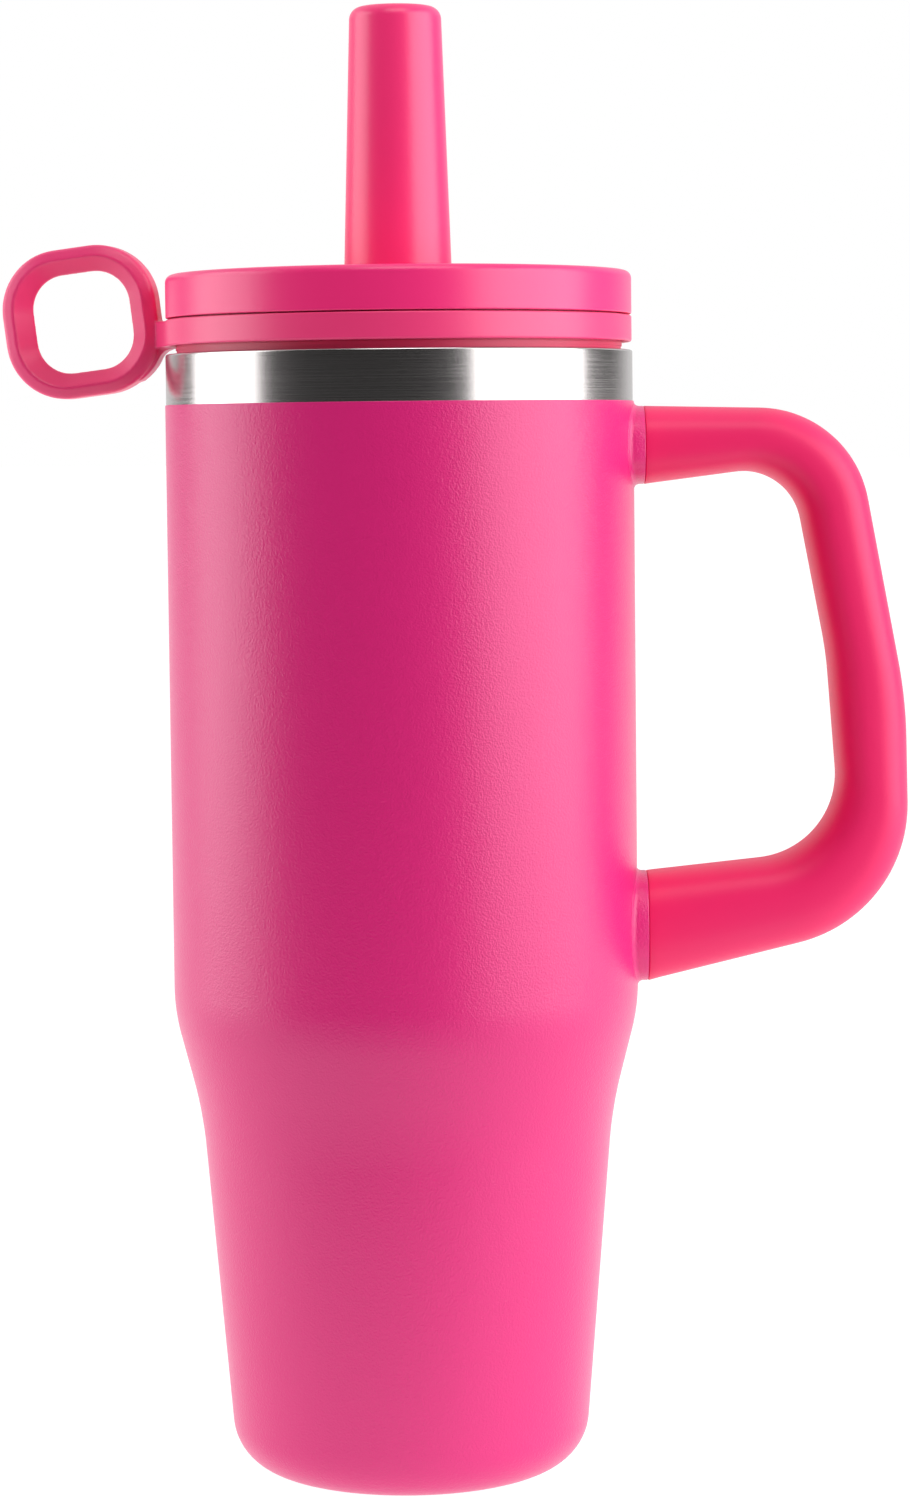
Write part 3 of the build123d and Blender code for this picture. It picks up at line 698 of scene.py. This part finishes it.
make_handle()
make_collar("upper_collar", HANDLE_TOP, HANDLE_UPPER_INSIDE, "upper_bracket")
make_collar("lower_collar", HANDLE_LOWER_INSIDE, HANDLE_BOTTOM, "lower_bracket")

# ---------------------------------------------------------------- lid

lid_radius = high("lid_cover").x
RIM_TOP = 253.75
RIM_WALL = 2.2
RIM_LEAN = (0.6, 1.4)  # how far the rim's inner face leans in, at its top and at the deck
DECK_DROP = 2.6  # rim's top to the deck
DECK_WALL = 2.2
COLLAR_RADIUS = 8.7
GROMMET_HOLE = 6.6
SEAL_GROOVE = 44.6  # radius at the groove's floor
SEAL_WEB = 1.2
SEAL_LIP = 0.7
SEAL_LIP_PLACES = (0.22, 0.78)  # up the seal's height
STRAW_WALL = 1.0
TIP_WALL = 1.5
TIP_NECK = 0.35  # depth of the waist between the tip's two beads
TIP_BEAD = 3.0  # height of each bead
TIP_FOOT_SLOPE = 0.6
TIP_MOUTH_SLOPE = 1.0
FLANGE_WALL = 1.0


def make_lid_cover():
    """Top moulding of the lid: an upright rim, a shallow deck and a collar for the straw."""
    collar_top = high("lid_cover").z
    rim_bottom = low("lid_cover").z
    deck = RIM_TOP - DECK_DROP
    deck_under = deck - DECK_WALL
    inner_rim = lid_radius - RIM_WALL
    outline = rounded(
        [
            (GROMMET_HOLE, collar_top),
            (GROMMET_HOLE, deck_under),
            (inner_rim, deck_under),
            (inner_rim, rim_bottom),
            (lid_radius, rim_bottom),
            (lid_radius, RIM_TOP),
            (inner_rim - RIM_LEAN[0], RIM_TOP),
            (inner_rim - RIM_LEAN[1], deck),
            (COLLAR_RADIUS, deck),
            (COLLAR_RADIUS, collar_top),
        ],
        [0.4, 0.2, 0.2, 0.2, 0.3, 1.6, 0.7, 1.2, 0.8, 0.5],
        closed=True,
    )
    piece = turned("lid_top", outline, lid_plastic, turns=LID_TURNS)
    return finish_piece(piece, "lid", lid_plastic, "lid", "lid_cover")


def make_lid_seal():
    """Silicone ring in the lid's groove, with two soft lips that bear on the mouth."""
    edge = high("lid_seal").x
    bottom, top = low("lid_seal").z, high("lid_seal").z
    web, lip = SEAL_GROOVE + SEAL_WEB, SEAL_LIP
    corners = [(SEAL_GROOVE, bottom), (web, bottom)]
    for share in SEAL_LIP_PLACES:
        middle = bottom + share * (top - bottom)
        corners += [(web, middle - lip), (edge, middle - lip * 0.5)]
        corners += [(edge, middle + lip * 0.2), (web, middle + lip)]
    corners += [(web, top), (SEAL_GROOVE, top)]
    rounds = [0.1, 0.1, 0.2, 0.15, 0.15, 0.3, 0.3, 0.15, 0.15, 0.2, 0.1, 0.1]
    outline = rounded(corners, rounds, closed=True, steps=4, shoulder=0.03)
    piece = turned("seal_ring", outline, seal_silicone)
    return finish_piece(piece, "lid", seal_silicone, "seal", "lid_seal")


def make_straw():
    """Straw from near the floor up through the lid, with eased ends."""
    bottom, top, radius = low("straw").z, high("straw").z, high("straw").x
    bore = radius - STRAW_WALL
    corners = [(bore, bottom), (radius, bottom), (radius, top), (bore, top)]
    outline = rounded(corners, [0.35, 0.35, 0.2, 0.2], closed=True, steps=5)
    piece = turned("straw_tube", outline, straw_plastic, turns=STRAW_TURNS)
    return finish_piece(piece, "lid", straw_plastic, "straw", "straw")


def make_straw_tip():
    """Soft tip over the straw's upper end, with a rolled mouth and a low bead above its foot."""
    bottom, top, radius = low("straw_tip").z, high("straw_tip").z, high("straw_tip").x
    inner = radius - TIP_WALL
    mouth = inner - STRAW_WALL
    neck = radius - TIP_NECK
    end = high("straw").z
    corners = [
        (inner, bottom),
        (radius, bottom),
        (radius, bottom + TIP_BEAD),
        (neck, bottom + TIP_BEAD + TIP_FOOT_SLOPE),
        (neck, top - TIP_BEAD - TIP_MOUTH_SLOPE),
        (radius, top - TIP_BEAD),
        (radius, top),
        (mouth, top),
        (mouth, end),
        (inner, end),
    ]
    rounds = [0.1, 0.5, 0.4, 0.4, 1.0, 1.0, 1.2, 0.6, 0.1, 0.1]
    outline = rounded(corners, rounds, closed=True, steps=6, shoulder=0.05)
    piece = turned("straw_tip_sleeve", outline, tip_silicone, turns=STRAW_TURNS)
    return finish_piece(piece, "lid", tip_silicone, "straw_tip", "straw_tip")


def make_grommet():
    """Grommet that holds the straw in the lid's collar, with a flange on top."""
    bottom, top = low("straw_grommet").z, high("straw_grommet").z
    inner, outer = high("straw").x, high("straw_grommet").x
    flange = top - FLANGE_WALL
    corners = [
        (inner, bottom),
        (GROMMET_HOLE, bottom),
        (GROMMET_HOLE, flange),
        (outer, flange),
        (outer, top),
        (inner, top),
    ]
    outline = rounded(corners, [0.2, 0.3, 0.1, 0.25, 0.5, 0.3], closed=True, steps=5, shoulder=0.05)
    piece = turned("grommet_ring", outline, seal_silicone, turns=STRAW_TURNS)
    return finish_piece(piece, "lid", seal_silicone, "seal", "straw_grommet")


make_lid_cover()
make_lid_seal()
make_straw()
make_straw_tip()
make_grommet()

# ---------------------------------------------------------------- carry strap

LOOP_TURN = math.radians(171)
LOOP_DROOP = math.radians(7)
LOOP_OUT = 68.06
LOOP_HEIGHT = 244.55
LOOP_WIDTH = 33.4
LOOP_TALL = 31.6
LOOP_ROUND = 12.8
LOOP_HALF_DEPTH = 4.0
LOOP_SIDE = 1.1  # outer wall's edge below the crest
HOLE_WIDTH = 20.5
HOLE_TALL = 20.3
HOLE_ROUND = 7.0
HOLE_SHIFT = 0.1
LOOP_WALL = (LOOP_WIDTH - HOLE_WIDTH) / 2
outward = Vector((math.cos(LOOP_TURN), math.sin(LOOP_TURN), 0))
across = Vector((math.sin(LOOP_TURN), -math.cos(LOOP_TURN), 0))
upward = Vector((0, 0, 1))
BAND_BORE = 46.7
BAND_BOTTOM = 238.9
BAND_TOP = 244.4
CREST_SHARE = 0.42  # crest's place across the ring's wall
TAB_LEAVE = math.radians(17)  # where the tab leaves the band, from the loop's azimuth
TAB_FRONT = 1.4
TAB_BACK = 3.4
TAB_END = 54.5
TAB_SINK = 1.6
WEB_SIDES = (-1.4, 3.2)
WEB_ROOT = [(48.0, BAND_TOP - 1.5), (47.4, BAND_BOTTOM + 0.4)]
WEB_SWEEP = [(47.2, BAND_BOTTOM - 0.1), (50.6, 238.9), (51.6, 236.2)]  # start, pull and end
WEB_CORNER = [(51.9, 235.7), (53.0, 233.8), (55.4, 232.0)]
WEB_INSIDE = [(57.0, 231.6), (57.0, 236.0), (55.0, 242.0)]
BLEND_STEP = 0.24


def strap_place(reach, side, height):
    """Point in the cup's frame from its reach along the loop's azimuth, its side and its height."""
    return outward * reach + across * side + upward * height


def loop_place(x, y, depth):
    """Point in the cup's frame from the loop's own plane: x towards the cup, y up."""
    inwards = upward * math.sin(LOOP_DROOP) - outward * math.cos(LOOP_DROOP)
    rise = upward * math.cos(LOOP_DROOP) + outward * math.sin(LOOP_DROOP)
    centre = outward * LOOP_OUT + upward * LOOP_HEIGHT
    return centre + inwards * x + rise * y + across * depth


def square_line(width, height, corner_round, shift=0.0, steps=16, runs=10):
    """Rounded rectangle as a closed line with a fixed number of points."""
    half_width, half_height = width / 2, height / 2
    flat_width, flat_height = half_width - corner_round, half_height - corner_round
    points = []
    sides = [
        (Vector((half_width, -flat_height)), Vector((half_width, flat_height))),
        (Vector((flat_width, half_height)), Vector((-flat_width, half_height))),
        (Vector((-half_width, flat_height)), Vector((-half_width, -flat_height))),
        (Vector((-flat_width, -half_height)), Vector((flat_width, -half_height))),
    ]
    for side, (start, end) in enumerate(sides):
        points += [start.lerp(end, step / runs) for step in range(runs)]
        centre = Vector((flat_width * (1, -1, -1, 1)[side], flat_height * (1, 1, -1, -1)[side]))
        for step in range(steps):
            angle = math.pi / 2 * (side + step / steps)
            points.append(centre + corner_round * Vector((math.cos(angle), math.sin(angle))))
    return [point + Vector((shift, 0)) for point in points]


def solid_parts(*parts):
    """Corners and faces of several closed skins as one set."""
    verts, faces = [], []
    for part_verts, part_faces in parts:
        faces += [[len(verts) + corner for corner in face] for face in part_faces]
        verts += part_verts
    return verts, faces


def prism(lower, upper):
    """Closed skin between two matched outlines."""
    size = len(lower)
    sides = [[k, (k + 1) % size, size + (k + 1) % size, size + k] for k in range(size)]
    return lower + upper, sides + [list(range(size))[::-1], list(range(size, 2 * size))]


def curve(start, pull, end, steps=12):
    """Points of a curve that leaves its start and reaches its end in line with the pull."""
    return [
        start.lerp(pull, step / steps).lerp(pull.lerp(end, step / steps), step / steps)
        for step in range(steps + 1)
    ]


def loop_ring():
    """Rounded square ring: an eased outer wall, a crest, and slopes down to a narrow waist."""
    crest = LOOP_WALL * CREST_SHARE
    section = rounded(
        [
            (0, LOOP_SIDE - LOOP_HALF_DEPTH),
            (crest, -LOOP_HALF_DEPTH),
            (LOOP_WALL, 0),
            (crest, LOOP_HALF_DEPTH),
            (0, LOOP_HALF_DEPTH - LOOP_SIDE),
        ],
        [1.2, 0.4, 0.7, 0.4, 1.2],
        closed=True,
        steps=6,
        shoulder=0.1,
    )
    outer = square_line(LOOP_WIDTH, LOOP_TALL, LOOP_ROUND)
    hole = square_line(HOLE_WIDTH, HOLE_TALL, HOLE_ROUND, HOLE_SHIFT)
    points = []
    for edge, inside in zip(outer, hole):
        for inset, depth in section:
            spot = edge.lerp(inside, inset / LOOP_WALL)
            points.append(loop_place(spot.x, spot.y, depth))
    return points, skin_faces(len(outer), len(section), closed=True)


def loop_tab():
    """Tab between the band and the ring: the band's face runs out in two hollow curves."""
    start = Vector((math.cos(TAB_LEAVE), math.sin(TAB_LEAVE))) * (lid_radius - 0.15)
    curves = []
    for side in (TAB_BACK, TAB_FRONT):
        run = (start.y - side) / math.cos(TAB_LEAVE)
        pull = Vector((start.x + run * math.sin(TAB_LEAVE), side))
        curves.append(curve(start, pull, Vector((TAB_END, side))))
    back, front = curves
    outline = [(point.x, point.y) for point in back]
    outline += [(point.x, -point.y) for point in reversed(front)]
    root = lid_radius - TAB_SINK
    for share in (-0.9, -0.45, 0, 0.45, 0.9):
        turn = TAB_LEAVE * share
        outline.append((root * math.cos(turn), root * math.sin(turn)))
    lower = [strap_place(reach, side, BAND_BOTTOM + 0.05) for reach, side in outline]
    upper = [strap_place(reach, side, BAND_TOP - 0.05) for reach, side in outline]
    return prism(lower, upper)


def loop_web():
    """Web under the tab, which sweeps from the band's lower edge to the ring's lower corner."""
    line = [Vector(corner) for corner in WEB_ROOT]
    line += curve(*[Vector(corner) for corner in WEB_SWEEP], steps=10)
    line += curve(*[Vector(corner) for corner in WEB_CORNER], steps=8)
    line += [Vector(corner) for corner in WEB_INSIDE]
    skins = [[strap_place(point.x, depth, point.y) for point in line] for depth in WEB_SIDES]
    return prism(*skins)


def make_strap_band():
    """Band round the lid's neck."""
    outline = rounded(
        [
            (BAND_BORE, BAND_BOTTOM),
            (lid_radius, BAND_BOTTOM),
            (lid_radius, BAND_TOP),
            (BAND_BORE, BAND_TOP),
        ],
        [0.3, 0.5, 0.35, 0.3],
        closed=True,
        steps=6,
        shoulder=0.08,
    )
    band = turned("strap_band", outline, strap_rubber, turns=LID_TURNS)
    return finish_piece(band, "strap", strap_rubber, "strap", "carry_strap")


def make_strap_loop():
    """Ring that the band's tab carries, with its corners blended as in one soft moulding."""
    loop = new_piece("strap_loop", *solid_parts(loop_ring(), loop_tab(), loop_web()))
    blend = loop.modifiers.new("blend", "REMESH")
    blend.mode = "VOXEL"
    blend.voxel_size = BLEND_STEP * MM
    ease = loop.modifiers.new("ease", "SMOOTH")
    ease.factor = 0.5
    ease.iterations = 12
    settled(loop)
    loop.data.polygons.foreach_set("use_smooth", [True] * len(loop.data.polygons))
    return finish_piece(loop, "strap", strap_rubber, "strap", "carry_strap")


make_strap_band()
make_strap_loop()

# ---------------------------------------------------------------- straw cap

CAP_TOP_RADIUS = 9.55
CAP_WALL = 2.2


def make_straw_cap():
    """Tall tapered cap with a closed round top."""
    bottom = low("straw_cap").z
    top = high("straw_cap").z
    base_radius = high("straw_cap").x
    outline = rounded(
        [
            (0, top),
            (CAP_TOP_RADIUS, top),
            (base_radius, bottom),
            (base_radius - CAP_WALL, bottom),
            (CAP_TOP_RADIUS - CAP_WALL, top - CAP_WALL),
            (0, top - CAP_WALL),
        ],
        [2.7, 0.5, 0.4, 1.6],
        steps=12,
    )
    piece = turned("straw_cap_cone", outline, cap_plastic, turns=180)
    return finish_piece(piece, "cap", cap_plastic, "cap", "straw_cap")


make_straw_cap()

# ---------------------------------------------------------------- pieces that keep their CAD shape

plain_finish = {
    "base_plate": plate_steel,
    "vacuum_seal": solder,
    "getter": dark_getter,
    "handle_core": core_plastic,
    "upper_screw": plate_steel,
    "lower_screw": plate_steel,
    "upper_screw_plug": grip_rubber,
    "lower_screw_plug": grip_rubber,
    "lid_plug": lid_inner_plastic,
    "vent_valve": seal_silicone,
}
for node, material in plain_finish.items():
    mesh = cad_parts[node].data
    mesh.materials.clear()
    mesh.materials.append(material)

# ---------------------------------------------------------------- floor, light and camera

FLOOR_REACH = 40000.0
FLOOR_LEVEL = -0.1
AIM_HEIGHT = 0.16  # metres up the cup, where the lights are turned
CAMERA_PLACE = (10.87, -863.0, 218.5)
CAMERA_DROOP = 4.32  # degrees below level
CAMERA_ROLL = -0.62


def smooth_ramp(add, value, given, wanted):
    """Value eased from one range to another."""
    inputs = {
        "Value": value,
        "From Min": given[0],
        "From Max": given[1],
        "To Min": wanted[0],
        "To Max": wanted[1],
    }
    return add("ShaderNodeMapRange", inputs, interpolation_type="SMOOTHSTEP").outputs["Result"]


def make_floor():
    """Wide pale floor, lit from within, that gives back light from below and is dark far in front."""
    reach = FLOOR_REACH
    corners = [(-reach, -reach), (reach, -reach), (reach, reach), (-reach, reach)]
    floor = bare_piece("floor", [(x, y, FLOOR_LEVEL) for x, y in corners], [], [[0, 1, 2, 3]])
    material, tree, shader, add = new_material("pale_floor")
    place = add("ShaderNodeTexCoord").outputs["Object"]
    depth = add("ShaderNodeSeparateXYZ", {0: place}).outputs["Y"]
    fade = smooth_ramp(add, depth, (-0.45, -0.08), (0.0, 1.0))
    to_camera = add("ShaderNodeLightPath").outputs["Is Camera Ray"]
    fill(tree, shader, {
        "Base Color": (0.2, 0.2, 0.2, 1),
        "Roughness": 1.0,
        "Specular IOR Level": 0.0,
        "Emission Color": WHITE,
        "Emission Strength": maths(add, "MAXIMUM", fade, to_camera),
    })
    floor.data.materials.append(material)


def make_softbox(name, azimuth, distance, height, size, power):
    """Rectangular light at an azimuth from the front, turned towards the cup's axis."""
    light = bpy.data.lights.new(name, "AREA")
    light.shape = "RECTANGLE"
    light.size, light.size_y = size
    light.energy = power
    lamp = bpy.data.objects.new(name, light)
    turn = math.radians(azimuth)
    lamp.location = (distance * math.sin(turn), -distance * math.cos(turn), height)
    aim = Vector((0, 0, AIM_HEIGHT)) - lamp.location
    lamp.rotation_euler = aim.to_track_quat("-Z", "Y").to_euler()
    bpy.context.scene.collection.objects.link(lamp)


def make_world():
    """Studio surround: pale behind and above the object, dark on the camera's side."""
    world = bpy.data.worlds.new("studio")
    bpy.context.scene.world = world
    world.use_nodes = True
    tree = world.node_tree
    tree.nodes.clear()
    add = node_adder(tree)
    direction = add("ShaderNodeTexCoord").outputs["Generated"]
    lean = add("ShaderNodeVectorMath", {0: direction, 1: (0.0, 1.0, 1.1)}, operation="DOT_PRODUCT")
    glow = smooth_ramp(add, lean.outputs["Value"], (0.6, 0.97), (0.035, 1.0))
    lit = add("ShaderNodeBackground", {"Strength": glow}).outputs[0]
    seen = add("ShaderNodeBackground", {"Color": WHITE, "Strength": 1.0}).outputs[0]
    to_camera = add("ShaderNodeLightPath").outputs["Is Camera Ray"]
    mix = add("ShaderNodeMixShader", {0: to_camera, 1: lit, 2: seen})
    add("ShaderNodeOutputWorld", {0: mix.outputs[0]})


def make_camera():
    """Camera at the height of the cup's shoulder, level with the handle, a little to its right."""
    data = bpy.data.cameras.new("camera")
    data.sensor_width = 36.0
    data.lens = 98.1
    data.clip_end = 100.0
    camera = bpy.data.objects.new("camera", data)
    bpy.context.scene.collection.objects.link(camera)
    pitch, roll = math.radians(90 - CAMERA_DROOP), math.radians(CAMERA_ROLL)
    place = Matrix.Translation(Vector(CAMERA_PLACE) * MM)
    camera.matrix_world = place @ Matrix.Rotation(pitch, 4, "X") @ Matrix.Rotation(roll, 4, "Z")
    bpy.context.scene.camera = camera


make_floor()
make_world()
make_softbox("left_softbox", azimuth=-93, distance=0.9, height=0.3, size=(0.76, 1.25), power=8.5)
make_softbox("right_softbox", azimuth=68, distance=0.9, height=0.3, size=(1.12, 1.25), power=15)
make_softbox("top_softbox", azimuth=8, distance=0.4, height=0.85, size=(0.5, 0.3), power=1.7)
make_camera()
bpy.context.scene.view_settings.view_transform = "Standard"
